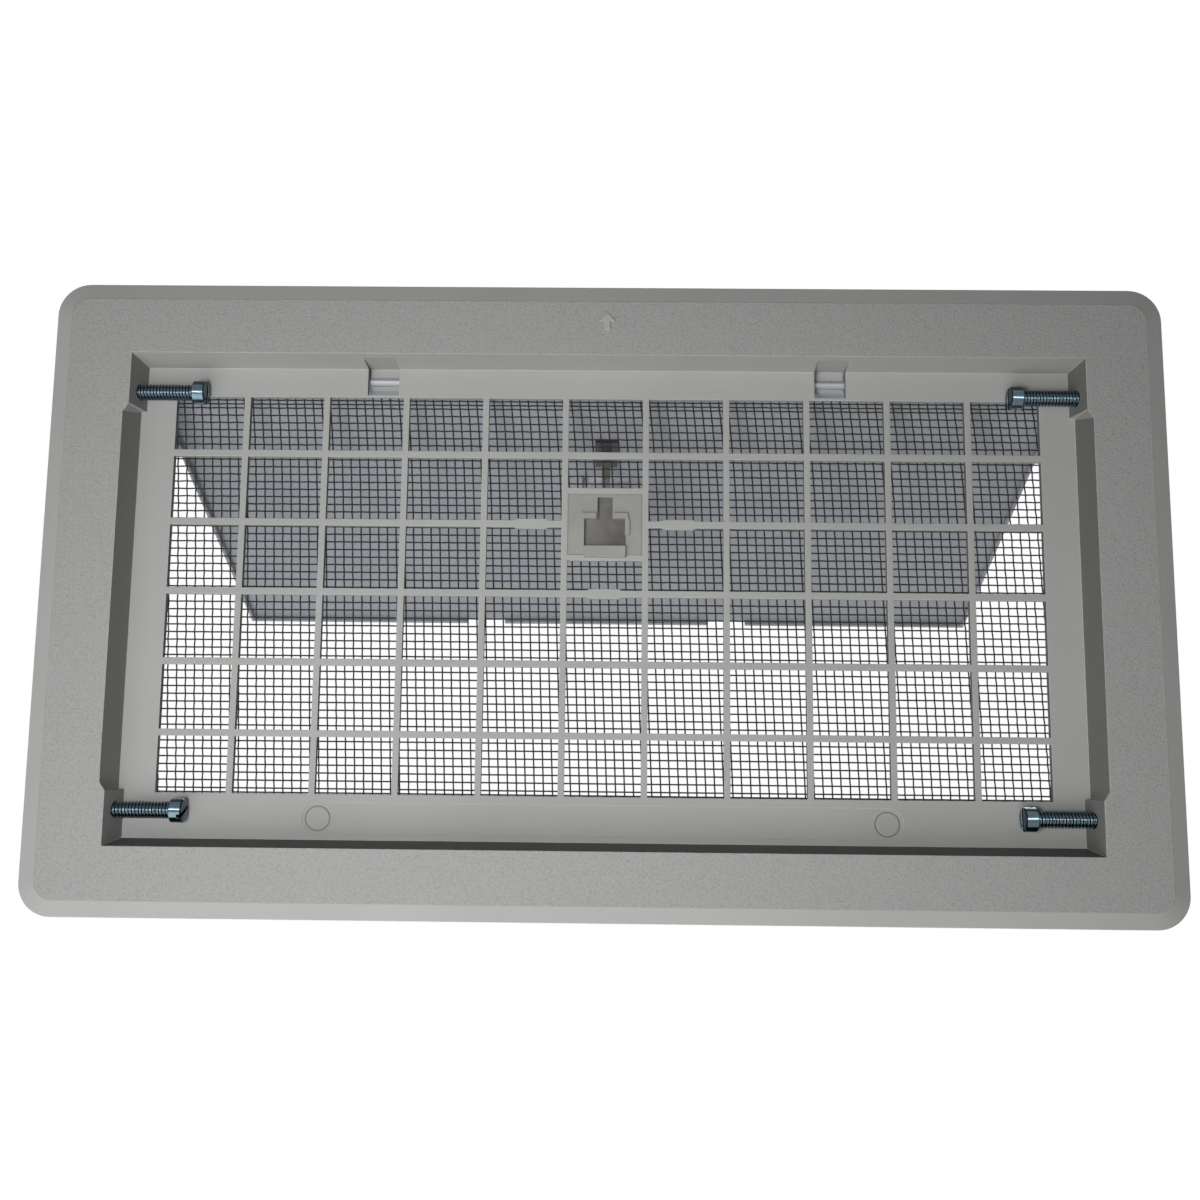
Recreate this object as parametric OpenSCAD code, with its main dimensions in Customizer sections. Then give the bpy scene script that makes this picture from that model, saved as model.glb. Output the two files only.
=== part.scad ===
// Foundation vent for a block wall opening: a moulded frame with a flanged face and an
// egg-crate grille, an insect screen, a top-hinged damper worked by a bimetal coil, and
// four jack screws that press outward on the masonry.
// Axes: X to the right, Z up, Y into the wall. The origin is the centre of the face.

/* [Flange] */
// Overall width of the flange
flange_w = 431.8; // [420:0.2:450]
// Overall height of the flange
flange_h = 243.4; // [236:0.2:260]
// Thickness of the flange, from its face to the plane that lies on the wall
flange_t = 3.2; // [2.6:0.1:5]
// Radius of the outer corners
flange_corner_r = 12.5; // [8:0.5:20]
// Width of the smooth bevelled band along the outer edge
bevel_w = 6.4; // [4:0.2:7.6]
// How far the bevel falls back at the outer edge
bevel_drop = 1.8; // [0.8:0.1:2.2]

/* [Recess] */
// Width between the side walls of the recess, at the face
recess_w = 374.9; // [372:0.1:380]
// Height of the recess ceiling above the centre, at the face
recess_top = 93.8; // [93:0.1:97]
// Depth of the recess floor below the centre, at the face
recess_bottom = 95.6; // [94:0.1:98]
// Distance from the face back to the front of the grille
recess_depth = 13.2; // [11:0.1:18]
// How far each wall leans inward between the face and the grille
draft = 2.05; // [0.5:0.05:2.4]
// Thickness of the sleeve walls
sleeve_wall = 2.2; // [1.6:0.1:3]

/* [Screw pads] */
// How far each pad stands proud of the side wall
pad_proud = 2.2; // [1.2:0.1:3]
// Length of a pad, from the ceiling or the floor of the recess
pad_len = 22; // [19:0.5:28]
// Length of the sloping shoulder at the free end of a pad
pad_shoulder = 3.2; // [1:0.1:5]

/* [Grille] */
// Width of the grille opening
opening_w = 342.8; // [338:0.2:348]
// Top edge of the grille opening above the centre
opening_top = 80.1; // [79:0.1:80.6]
// Bottom edge of the grille opening below the centre
opening_bottom = 76.3; // [70:0.1:77]
// Number of vertical bars
upright_count = 10; // [10:2:14]
// Spacing of the vertical bars
upright_pitch = 31.8; // [31:0.1:33]
// Number of horizontal bars
rail_count = 5; // [5:2:7]
// Spacing of the horizontal bars
rail_pitch = 27.6; // [24:0.1:28]
// Width of a vertical bar, seen from the front
upright_w = 2.4; // [1.8:0.1:3]
// Height of a horizontal bar, seen from the front
rail_h = 2.65; // [2:0.05:3]
// Thickness of the grille and of the plane around it
grille_t = 2.5; // [2:0.1:3.5]
// Length of the oval swellings on the bars
swelling_len = 14.4; // [8:0.2:18]
// Height of the oval swellings on the bars
swelling_h = 3.9; // [3.2:0.1:5]

/* [Sill] */
// Length of the shallow field sunk in the bottom sill
field_w = 229; // [180:1:290]
// Depth of that field
field_depth = 0.3; // [0.2:0.05:0.6]
// Radius of the two round mould marks in the field
mark_r = 5; // [3:0.1:6]

/* [Hinges] */
// Distance of each hinge from the middle
hinge_x = 89; // [70:0.5:110]
// Height of the hinge axis above the centre
hinge_z = 87.9; // [87.4:0.1:88.4]
// Clear distance from the back of the grille to the hinge bars
hinge_stand_off = 0.8; // [0.7:0.05:1.4]
// Diameter of the hinge bars of the damper
hinge_bar_d = 3; // [2.6:0.1:3.4]
// Radial play of a hinge bar in its socket
hinge_play = 0.08; // [0.04:0.01:0.1]
// Width of each hinge window in the frame
hinge_window_w = 12.4; // [10:0.2:16]
// Thickness of the hooks around the hinge bars
hook_t = 1.8; // [1.2:0.1:2]
// Thickness of the roof that carries each hook
hook_roof_t = 1.6; // [1.2:0.1:2.2]
// Angle below the level of the axis to which each hook closes round its bar
mouth_angle = 72; // [60:1:80]

/* [Damper] */
// Width of the damper
damper_w = 368; // [364:0.5:372]
// Length of the damper, from the hinge axis to the free edge
damper_len = 168; // [166:0.5:172]
// Thickness of the damper plate
damper_t = 1.6; // [1.2:0.1:2.2]
// Height of the lip along the sides and the free edge
lip_h = 2.7; // [2.2:0.1:3.4]
// Thickness of the lip
lip_t = 1.4; // [1:0.1:1.8]
// Width of each of the two gaps in the lip of the free edge
lip_gap_w = 19; // [10:0.5:30]
// Distance of those gaps from the middle
lip_gap_x = 62; // [40:0.5:80]
// Angle between the damper and its closed place, as the vent stands open
open_angle = 61.5; // [40:0.5:75]

/* [Thermostat clip] */
// Width of the clip between its two vertical bars
clip_w = 28.8; // [26:0.1:29.2]
// Height of the whole clip window, with its two cross members
clip_window_h = 29; // [27:0.1:33]
// Height of each cross member
cross_h = 2.3; // [1.8:0.1:3]
// Width of the stem of the T-shaped slot
stem_w = 5.9; // [5:0.1:7]
// Height of the stem of the slot
stem_h = 8.6; // [6:0.1:9]
// Width of the wide part of the slot
slot_w = 16.3; // [14:0.1:18]
// Height of the wide part of the slot
slot_h = 11; // [10:0.1:12]
// Thickness of the collar behind the bars
collar_t = 1.2; // [0.8:0.1:1.4]
// How far the collar reaches behind the bars
collar_lap = 1.5; // [1:0.1:2]
// Thickness of the translucent web that closes the T-shaped slot
web_t = 0.7; // [0.5:0.05:0.9]
// Reach of the ledge in front of the grille
ledge_reach = 2.2; // [1.2:0.1:3]
// Thickness of the side cheeks that carry the coil
clip_cheek_t = 1.4; // [1:0.1:2]

/* [Bimetal coil] */
// Thickness of the bimetal strip
strip_t = 0.5; // [0.3:0.05:0.8]
// Width of the wound strip
strip_w = 7; // [5:0.5:9]
// Width of the tail that reaches the damper
tail_w = 3.6; // [2.5:0.1:3.8]
// Outer radius of the coil
coil_r = 4.4; // [4:0.1:4.8]
// Radius of the pin that the coil is wound on
coil_pin_r = 1.3; // [1:0.1:1.5]
// Turns of the coil
coil_turns = 2.75; // [1.75:1:3.75]
// How far the tail reaches up the damper, from the hinge axis
tail_seat = 46.1; // [44:0.1:47]

/* [Catch] */
// Width of the catch on the damper
catch_w = 9.5; // [8:0.1:12]
// Length of the catch along the damper
catch_len = 15.5; // [12:0.1:18]
// Thickness of the catch in front of the damper
catch_proud = 1.5; // [1:0.1:1.6]
// Width of the notch that holds the tail
notch_w = 4.4; // [4.2:0.1:5]
// Depth of that notch
notch_len = 4; // [3.4:0.1:6]

/* [Insect screen] */
// Overlap of the screen beyond the grille opening
screen_lap = 1.6; // [1:0.1:1.6]
// Thickness of the screen
screen_t = 0.5; // [0.3:0.05:0.6]
// Gaps of the screen across its width
screen_columns = 13; // [8:1:13]
// Gaps of the screen over its height
screen_rows = 9; // [6:1:9]
// Width of a strand of the screen
strand_w = 0.6; // [0.4:0.1:1.2]

/* [Jack screws] */
// Diameter of the shank
screw_d = 6.35; // [5:0.05:7]
// Length of the shank under the head
screw_len = 25.4; // [22:0.1:30]
// Diameter of the head
head_d = 9.2; // [8:0.1:9.4]
// Height of the head
head_h = 4.8; // [4:0.1:6]
// Width of the driver slot
drive_w = 1.5; // [1:0.1:2]
// Depth of the driver slot
drive_depth = 1.9; // [1:0.1:2.4]
// Radial play of a shank in its hole
screw_play = 0.08; // [0.04:0.01:0.1]
// Distance of the screw axes behind the face
screw_y = 8.2; // [6.5:0.1:8.3]
// Height of the upper screws above the centre
screw_z_top = 80; // [78:0.1:82]
// Distance of the lower screws below the centre
screw_z_bottom = 82.7; // [80:0.1:84]

/* [Hidden] */
$fn = 48;
eps = 0.02;
far = 500;
fit = 0.3;
grille_back = recess_depth + grille_t;
grille_mid = (opening_top - opening_bottom) / 2;
opening_h = opening_top + opening_bottom;
mark_x = field_w / 2 - mark_r - 1;
mark_z = -opening_bottom - 9.1;
window_sill = 1.1;
ceiling_relief = 1.5;
housing_wall = 1.4;
hinge_y = grille_back + hinge_stand_off + hinge_bar_d / 2;
lug_t = 2.5;
lug_r = hinge_bar_d / 2 + 0.5;
plate_front = lip_h - (hinge_y - grille_back - fit);
plate_top = hook_t + hinge_bar_d / 2 + 1.5;
clip_z = grille_mid + rail_pitch;
clip_low = clip_z - clip_window_h / 2;
clip_high = clip_z + clip_window_h / 2;
clip_bay = upright_pitch - upright_w;
slot_low = clip_low + 5.7;
web_y = grille_back + 0.2;
coil_y = web_y + web_t + fit + coil_r;
coil_z = slot_low + slot_h / 2;
cheek_depth = coil_y + coil_pin_r + 1.4;
cheek_h = 2 * coil_r - 0.6;
pocket_w = slot_w + 2 * clip_cheek_t + 2.6;
pocket_top = hinge_z - (coil_z + coil_r + 1.6);
pocket_end = hinge_z - (coil_z - coil_r - 1.6);
pocket_depth = coil_y + coil_r + 0.4 - hinge_y - plate_front;
catch_end = tail_seat - 1.1 + notch_len;
tip_x = half_w(screw_y) + sleeve_wall - 0.6;

function half_w(y) = recess_w / 2 - draft * y / recess_depth;
function ceiling_z(y) = recess_top - draft * y / recess_depth;
function floor_z(y) = -recess_bottom + draft * y / recess_depth;

// A flat shape drawn in X and Z, from y0 to y0 + t
module slab(y0, t) {
    translate([0, y0 + t, 0]) rotate([90, 0, 0]) linear_extrude(t) children();
}

// A flat shape drawn in Y and Z, from x0 to x1
module bar_along_x(x0, x1) {
    translate([x0, 0, 0]) rotate([90, 0, 90]) linear_extrude(x1 - x0) children();
}

module rounded(w, h, r) {
    hull() for (x = [-1, 1], z = [-1, 1]) translate([x * (w / 2 - r), z * (h / 2 - r)]) circle(r);
}

// The recess, or the outside of the sleeve round it, leaning inward by the draft
module leaning_box(y0, y1, grow) {
    intersection() {
        translate([0, 0, -far / 2]) linear_extrude(far)
            polygon([[-half_w(y0) - grow, y0], [half_w(y0) + grow, y0],
                     [half_w(y1) + grow, y1], [-half_w(y1) - grow, y1]]);
        bar_along_x(-far / 2, far / 2)
            polygon([[y0, ceiling_z(y0) + grow], [y1, ceiling_z(y1) + grow],
                     [y1, floor_z(y1) - grow], [y0, floor_z(y0) - grow]]);
    }
}

// A pad for one jack screw, in the corner of the recess
module screw_pad(side, up) {
    limit = up > 0 ? recess_top : recess_bottom;
    end = limit - pad_len;
    intersection() {
        translate([0, 0, -far / 2]) linear_extrude(far)
            polygon([[side * (half_w(-1) - pad_proud), -1], [side * (half_w(-1) + 1), -1],
                     [side * (half_w(grille_back) + 1), grille_back],
                     [side * (half_w(grille_back) - pad_proud), grille_back]]);
        slab(-1, grille_back + 1)
            polygon([[side * (half_w(0) - pad_proud - draft - 1), up * (end + pad_shoulder / 2)],
                     [side * (half_w(0) - pad_proud), up * (end + pad_shoulder / 2)],
                     [side * half_w(0), up * (end - pad_shoulder / 2)],
                     [side * (half_w(0) + 2), up * (end - pad_shoulder / 2)],
                     [side * (half_w(0) + 2), up * (limit + 2)],
                     [side * (half_w(0) - pad_proud - draft - 1), up * (limit + 2)]]);
    }
}

module flange() {
    edge_t = flange_t - bevel_drop;
    hull() {
        slab(0, eps) rounded(flange_w - 2 * bevel_w, flange_h - 2 * bevel_w, flange_corner_r - bevel_w + 1);
        slab(bevel_drop, edge_t) rounded(flange_w, flange_h, flange_corner_r);
    }
}

module grille_gaps() {
    difference() {
        translate([-opening_w / 2, -opening_bottom]) square([opening_w, opening_h]);
        for (i = [0 : upright_count - 1])
            translate([(i - (upright_count - 1) / 2) * upright_pitch - upright_w / 2, -opening_bottom])
                square([upright_w, opening_h]);
        for (j = [0 : rail_count - 1])
            translate([-opening_w / 2, grille_mid + (j - (rail_count - 1) / 2) * rail_pitch - rail_h / 2])
                square([opening_w, rail_h]);
        for (x = [-1, 1]) translate([x * 29, grille_mid + rail_pitch]) swelling();
        translate([0, grille_mid]) swelling();
    }
}

module swelling() {
    hull() for (x = [-1, 1]) translate([x * (swelling_len - swelling_h) / 2, 0]) circle(swelling_h / 2);
}

// The bay of the clip: the middle rail stops here, and two short members cross it
module clip_bay_gap() {
    translate([-clip_bay / 2, clip_low + cross_h]) square([clip_bay, clip_window_h - 2 * cross_h]);
}

module clip_bay_members() {
    for (z = [clip_low, clip_high - cross_h])
        translate([-clip_bay / 2 - eps, z]) square([clip_bay + 2 * eps, cross_h]);
}

module hinge_window(x) {
    top = ceiling_z(recess_depth) + ceiling_relief;
    translate([x - hinge_window_w / 2, 1.2, recess_top - draft])
        cube([hinge_window_w, grille_back - 1.2 + eps, ceiling_relief]);
    translate([x - hinge_window_w / 2, recess_depth - eps, opening_top + window_sill])
        cube([hinge_window_w, grille_t + 2 * eps, top - opening_top - window_sill]);
    translate([x - hinge_window_w / 2, recess_depth + 0.8, opening_top - eps])
        cube([hinge_window_w, grille_t, window_sill + 2 * eps]);
}

// A bump on the sleeve that gives the wall above each hinge window its thickness
module hinge_housing(x) {
    w = hinge_window_w + 2 * housing_wall;
    translate([x - w / 2, eps, recess_top - draft])
        cube([w, grille_back - eps, ceiling_relief + housing_wall]);
}

// A hook behind the window: it arches over the hinge bar, which snaps in from below
module hinge_hook(x) {
    bore_r = hinge_bar_d / 2 + hinge_play;
    hook_r = bore_r + hook_t;
    roof = ceiling_z(recess_depth) + ceiling_relief;
    bar_along_x(x - hinge_window_w / 2, x + hinge_window_w / 2) difference() {
        union() {
            translate([hinge_y, hinge_z]) circle(hook_r);
            translate([hinge_y, hinge_z]) square([hook_r, roof + hook_roof_t - hinge_z]);
            translate([grille_back - 1, roof]) square([hinge_y + hook_r - grille_back + 1, hook_roof_t]);
        }
        translate([hinge_y, hinge_z]) circle(bore_r);
        translate([hinge_y - far, hinge_z - far / 2]) square([far, far / 2 + 0.6]);
        translate([hinge_y - 2 * hook_r, hinge_z - far / 2]) square([2 * hook_r + 0.5, far / 2]);
        translate([grille_back - 2, hinge_z]) square([hinge_y - grille_back + 2, roof - hinge_z]);
        rotate_about(hinge_y, hinge_z, -mouth_angle) translate([-0.2, -2 * hook_r]) square([2 * hook_r, 2 * hook_r]);
    }
    shade_w = hinge_window_w + 2 * lug_t + 2 * fit;
    translate([x - shade_w / 2, grille_back - 1, roof])
        cube([shade_w, hinge_y + hook_r - grille_back + 1, hook_roof_t]);
    translate([x - shade_w / 2, hinge_y + 1, hinge_z + lug_r + 2 * fit])
        cube([shade_w, hook_r - 1, roof - hinge_z - lug_r - 2 * fit + eps]);
}

module rotate_about(y, z, a) {
    translate([y, z]) rotate(a) children();
}

module screw_hole(side, z) {
    translate([side * (half_w(screw_y) - pad_proud - 3), screw_y, z]) rotate([0, side * 90, 0])
        cylinder(h = pad_proud + sleeve_wall + 8, r = screw_d / 2 + screw_play);
}

module frame() color([0.63, 0.63, 0.61]) {
    difference() {
        union() {
            flange();
            leaning_box(eps, grille_back, sleeve_wall);
            for (side = [-1, 1]) hinge_housing(side * hinge_x);
        }
        difference() {
            leaning_box(-1, recess_depth, 0);
            for (side = [-1, 1], up = [-1, 1]) screw_pad(side, up);
        }
        slab(recess_depth - 1, grille_t + 2) difference() {
            union() {
                grille_gaps();
                clip_bay_gap();
            }
            clip_bay_members();
        }
        slab(recess_depth - 1, 1 + field_depth)
            hull() for (side = [-1, 1]) translate([side * mark_x, mark_z]) circle(mark_r + 1);
        slab(recess_depth - 1, 1 + 2 * field_depth) for (side = [-1, 1])
            translate([side * mark_x, mark_z]) difference() {
                circle(mark_r);
                circle(mark_r - 0.7);
            }
        for (side = [-1, 1]) {
            hinge_window(side * hinge_x);
            screw_hole(side, screw_z_top);
            screw_hole(side, -screw_z_bottom);
        }
    }
    for (side = [-1, 1]) hinge_hook(side * hinge_x);
}

// The screen as one wall with gaps, cut out where the clip passes through it
module insect_screen() color([0.1, 0.1, 0.1]) {
    w = opening_w + 2 * screen_lap;
    h = opening_h + 2 * screen_lap;
    cell_w = (w - strand_w) / screen_columns;
    cell_h = (h - strand_w) / screen_rows;
    cut_w = clip_bay + 2 * collar_lap + 2 * fit;
    cut_h = clip_window_h + 2 * collar_lap - cross_h + 2 * fit;
    slab(grille_back, screen_t) difference() {
        translate([-w / 2, -opening_bottom - screen_lap]) square([w, h]);
        difference() {
            for (i = [0 : screen_columns - 1], j = [0 : screen_rows - 1])
                translate([-w / 2 + strand_w + i * cell_w, -opening_bottom - screen_lap + strand_w + j * cell_h])
                    square([cell_w - strand_w, cell_h - strand_w]);
            translate([-cut_w / 2 - strand_w, clip_z - cut_h / 2 - strand_w])
                square([cut_w + 2 * strand_w, cut_h + 2 * strand_w]);
        }
        translate([-cut_w / 2, clip_z - cut_h / 2]) square([cut_w, cut_h]);
    }
}

// Places a shape drawn round the hinge axis, with the damper hanging down, as it stands open
module on_damper() {
    translate([0, hinge_y, hinge_z]) rotate([open_angle, 0, 0]) children();
}

module damper_lug(x0) {
    bar_along_x(x0, x0 + lug_t) {
        circle(lug_r);
        translate([0, -plate_top - 1]) square([plate_front + damper_t, plate_top + 1]);
    }
}

module damper() color([0.60, 0.61, 0.63]) on_damper() {
    lip_y = plate_front - lip_h;
    difference() {
        union() {
            translate([-damper_w / 2, lip_y, -damper_len])
                cube([damper_w, lip_h + damper_t, damper_len - plate_top]);
            translate([-pocket_w / 2 - damper_t, plate_front, -pocket_end - damper_t])
                cube([pocket_w + 2 * damper_t, pocket_depth + damper_t, pocket_end - pocket_top + 2 * damper_t]);
        }
        translate([-damper_w / 2 + lip_t, lip_y - 1, -damper_len + lip_t])
            cube([damper_w - 2 * lip_t, lip_h + 1, damper_len]);
        for (side = [-1, 1])
            translate([side * lip_gap_x - lip_gap_w / 2, lip_y - 1, -damper_len - 1])
                cube([lip_gap_w, lip_h + 1, lip_t + 2]);
        translate([-pocket_w / 2, plate_front - 1, -pocket_end])
            cube([pocket_w, pocket_depth + 1, pocket_end - pocket_top]);
        translate([-notch_w / 2, plate_front - 1, -catch_end + notch_len + 2])
            cube([notch_w, damper_t + 2, catch_len - notch_len - 4]);
    }
    for (side = [-1, 1]) {
        reach = hinge_window_w / 2 + fit;
        for (inner = [reach, -reach - lug_t]) damper_lug(side * hinge_x + inner);
        bar_along_x(side * hinge_x - reach - lug_t / 2, side * hinge_x + reach + lug_t / 2)
            circle(hinge_bar_d / 2);
    }
}

// A dark clip through the damper plate, with a notch for the end of the bimetal tail
module damper_catch() color([0.16, 0.14, 0.13]) on_damper() {
    difference() {
        translate([-catch_w / 2, plate_front - catch_proud, -catch_end])
            cube([catch_w, catch_proud, catch_len]);
        translate([-notch_w / 2, plate_front - catch_proud - 1, -catch_end - 1])
            cube([notch_w, catch_proud + 2, notch_len + 1]);
    }
    translate([-notch_w / 2 + 0.1, plate_front - eps, -catch_end + notch_len + 2.1])
        cube([notch_w - 0.2, damper_t + 2 * eps, catch_len - notch_len - 4.2]);
    translate([-catch_w / 2 + 1, plate_front + damper_t, -catch_end + notch_len])
        cube([catch_w - 2, 1, catch_len - notch_len]);
}

module t_slot() {
    translate([-slot_w / 2, slot_low]) square([slot_w, slot_h]);
    translate([-stem_w / 2, slot_low]) square([stem_w, slot_h + stem_h]);
}

module thermostat_clip() color([0.78, 0.78, 0.75]) {
    bay_h = clip_window_h - 2 * cross_h - 0.2;
    collar_w = clip_bay + 2 * collar_lap;
    collar_h = bay_h + 2 * collar_lap;
    slab(recess_depth, grille_t) difference() {
        translate([-clip_w / 2, clip_z - bay_h / 2]) square([clip_w, bay_h]);
        t_slot();
    }
    slab(grille_back, collar_t) difference() {
        translate([-collar_w / 2, clip_z - collar_h / 2]) square([collar_w, collar_h]);
        t_slot();
    }
    for (side = [-1, 1]) {
        translate([side > 0 ? slot_w / 2 : -slot_w / 2 - clip_cheek_t, grille_back, coil_z - cheek_h / 2])
            cube([clip_cheek_t, cheek_depth - grille_back, cheek_h]);
        translate([side > 0 ? stem_w / 2 + 0.5 : -slot_w / 2 - 1, recess_depth - 0.9, slot_low + slot_h])
            cube([(slot_w - stem_w) / 2 + 0.5, 1, 2.3]);
    }
    translate([slot_w / 2 - 0.3, recess_depth - 0.9, slot_low + 4.4]) cube([1.9, 1, slot_h - 4.4]);
    translate([-slot_w / 2, recess_depth - ledge_reach, slot_low - 4.5]) cube([slot_w, ledge_reach - 0.1, 4.5]);
    translate([-slot_w / 2, recess_depth - 0.5, slot_low - cross_h]) cube([slot_w, 1, cross_h]);
    slab(web_y, web_t) offset(delta = 0.4) t_slot();
    bar_along_x(-slot_w / 2 - eps, slot_w / 2 + eps) translate([coil_y, coil_z]) circle(coil_pin_r);
}

// The strip of the coil as a line in Y and Z: a spiral, a short rise in front of it, then the tail
coil_inner = coil_pin_r + strip_t / 2 + 0.15;
tail_y = hinge_y + tail_seat * sin(open_angle) - 0.4 * cos(open_angle) + plate_front * cos(open_angle);
tail_z = hinge_z - tail_seat * cos(open_angle) - 0.4 * sin(open_angle) + plate_front * sin(open_angle);
leave_angle = 180;
spiral_steps = 72;
spiral = [for (i = [0 : spiral_steps])
    let (r = coil_inner + (coil_r - strip_t / 2 - coil_inner) * i / spiral_steps,
         a = leave_angle + 360 * coil_turns * (1 - i / spiral_steps))
    [coil_y + r * cos(a), coil_z + r * sin(a)]];
rise = [coil_y - coil_r + strip_t / 2, coil_z + coil_r];

function side_step(p, i) =
    let (a = p[max(i - 1, 0)], b = p[min(i + 1, len(p) - 1)], d = b - a)
    [-d[1], d[0]] / norm(d) * strip_t / 2;

module strip(line) {
    polygon(concat([for (i = [0 : len(line) - 1]) line[i] + side_step(line, i)],
                   [for (i = [len(line) - 1 : -1 : 0]) line[i] - side_step(line, i)]));
}

module bimetal_coil() color([0.50, 0.42, 0.34]) {
    bar_along_x(-strip_w / 2, strip_w / 2) strip(spiral);
    bar_along_x(-tail_w / 2, tail_w / 2) strip([spiral[spiral_steps], rise, [tail_y, tail_z]]);
}

// One jack screw, its head towards the middle of the recess
module jack_screw(side, z, turn) color([0.70, 0.74, 0.74]) {
    crown = 0.7;
    point = 1;
    translate([side * tip_x, screw_y, z]) rotate([0, -side * 90, 0]) rotate([0, 0, turn]) difference() {
        rotate_extrude() polygon([[0, 0], [screw_d / 2 - point, 0], [screw_d / 2, point],
                                  [screw_d / 2, screw_len], [head_d / 2, screw_len],
                                  [head_d / 2, screw_len + head_h - crown],
                                  [head_d / 2 - crown, screw_len + head_h - crown / 3],
                                  [0, screw_len + head_h]]);
        translate([-head_d, -drive_w / 2, screw_len + head_h - drive_depth]) cube([2 * head_d, drive_w, drive_depth + 1]);
    }
}

module screw_top_left() jack_screw(-1, screw_z_top, 8);
module screw_top_right() jack_screw(1, screw_z_top, -10);
module screw_bottom_left() jack_screw(-1, -screw_z_bottom, 117);
module screw_bottom_right() jack_screw(1, -screw_z_bottom, 6);

frame();
insect_screen();
damper();
damper_catch();
thermostat_clip();
bimetal_coil();
screw_top_left();
screw_top_right();
screw_bottom_left();
screw_bottom_right();
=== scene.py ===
"""Foundation vent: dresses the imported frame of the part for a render, in Blender 4.5.

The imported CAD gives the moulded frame, the damper, its catch and the thermostat clip. This
script gives them their materials, weaves the insect screen, winds the bimetal coil, cuts the
threads of the jack screws and sets the studio, the lamps and the camera.
"""

import logging
from dataclasses import dataclass, field
from enum import Enum
from typing import Any

import bmesh
import bpy
import numpy as np
from mathutils import Matrix


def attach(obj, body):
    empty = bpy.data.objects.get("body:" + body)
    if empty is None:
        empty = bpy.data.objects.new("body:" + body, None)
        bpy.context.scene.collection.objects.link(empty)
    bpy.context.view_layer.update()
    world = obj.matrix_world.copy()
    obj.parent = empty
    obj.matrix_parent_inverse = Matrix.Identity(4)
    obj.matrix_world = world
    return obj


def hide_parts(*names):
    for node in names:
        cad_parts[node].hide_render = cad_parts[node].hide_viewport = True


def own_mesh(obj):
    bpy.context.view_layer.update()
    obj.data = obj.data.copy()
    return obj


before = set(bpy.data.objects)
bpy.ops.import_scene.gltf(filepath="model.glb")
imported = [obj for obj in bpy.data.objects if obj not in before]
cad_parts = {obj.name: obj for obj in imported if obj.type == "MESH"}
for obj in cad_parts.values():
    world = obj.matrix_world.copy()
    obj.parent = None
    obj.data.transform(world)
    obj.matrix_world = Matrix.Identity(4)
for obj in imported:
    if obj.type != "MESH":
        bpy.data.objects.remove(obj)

log = logging.getLogger("foundation_vent")
MM = 0.001

Array = np.ndarray
Tree = bpy.types.NodeTree
Node = bpy.types.Node
Socket = bpy.types.NodeSocket
Material = bpy.types.Material
PieceObject = bpy.types.Object


class Side(Enum):
    """Which side of the vent a jack screw is on, as the sign of its X."""

    LEFT = -1
    RIGHT = 1


class Thread(Enum):
    """The two sets of wires in the woven screen."""

    UPRIGHT = "screen_upright_wires"
    LEVEL = "screen_level_wires"


def linear(colour: str) -> tuple[float, float, float, float]:
    """Turns an sRGB hex colour into linear light.

    Args:
        colour: Six hex digits with a leading #.

    Returns:
        Red, green, blue and an alpha of 1, each from 0 to 1.
    """
    values = np.array([int(colour[i:i + 2], 16) for i in (1, 3, 5)]) / 255
    light = np.where(values <= 0.04045, values / 12.92, ((values + 0.055) / 1.055) ** 2.4)
    return (*light.tolist(), 1.0)


def add_node(tree: Tree, kind: str, inputs: dict[Any, Any] | None = None, **settings: Any) -> Node:
    """Adds one shader node, with its settings, values and links.

    Args:
        tree: The node tree that it goes into.
        kind: Blender's name for the node's type.
        inputs: Value or output socket for each input, by the input's name or number.
        **settings: Properties of the node itself.

    Returns:
        The new node.
    """
    node = tree.nodes.new(kind)
    for name, value in settings.items():
        setattr(node, name, value)
    for key, value in (inputs or {}).items():
        if isinstance(value, Socket):
            tree.links.new(value, node.inputs[key])
        else:
            node.inputs[key].default_value = value
    return node


def new_material(name: str) -> tuple[Material, Tree]:
    """Makes an empty material.

    Args:
        name: Name of the material.

    Returns:
        The material and its cleared node tree.
    """
    material = bpy.data.materials.new(name)
    material.use_nodes = True
    material.node_tree.nodes.clear()
    return material, material.node_tree


def output(tree: Tree, shader: Socket) -> None:
    """Links a shader to the material's output."""
    add_node(tree, "ShaderNodeOutputMaterial", {"Surface": shader})


def tinted(tree: Tree, colour: str, dark: str, factor: Socket) -> Socket:
    """Mixes two colours by a factor from 0, the first, to 1, the second.

    Args:
        tree: The material's node tree.
        colour: Hex colour at factor 0.
        dark: Hex colour at factor 1.
        factor: Socket that gives the factor.

    Returns:
        The socket of the mixed colour.
    """
    mix = add_node(tree, "ShaderNodeMix", data_type="RGBA")
    tree.links.new(factor, mix.inputs[0])
    mix.inputs[6].default_value = linear(colour)
    mix.inputs[7].default_value = linear(dark)
    return mix.outputs[2]


def noise(tree: Tree, size_mm: float, detail: float = 2.0, stretch: tuple = (1, 1, 1)) -> Socket:
    """Noise in the piece's own coordinates.

    Args:
        tree: The material's node tree.
        size_mm: Size of one blob of the noise.
        detail: How many finer layers are added.
        stretch: Scale of the coordinates along X, Y and Z.

    Returns:
        The socket of the noise, from 0 to 1.
    """
    place = add_node(tree, "ShaderNodeTexCoord").outputs["Object"]
    scaled = add_node(tree, "ShaderNodeMapping", {"Vector": place, "Scale": stretch})
    made = add_node(tree, "ShaderNodeTexNoise", {"Vector": scaled.outputs[0], "Scale": 1 / (size_mm * MM),
                                                 "Detail": detail, "Roughness": 0.55})
    return made.outputs["Fac"]


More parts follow.
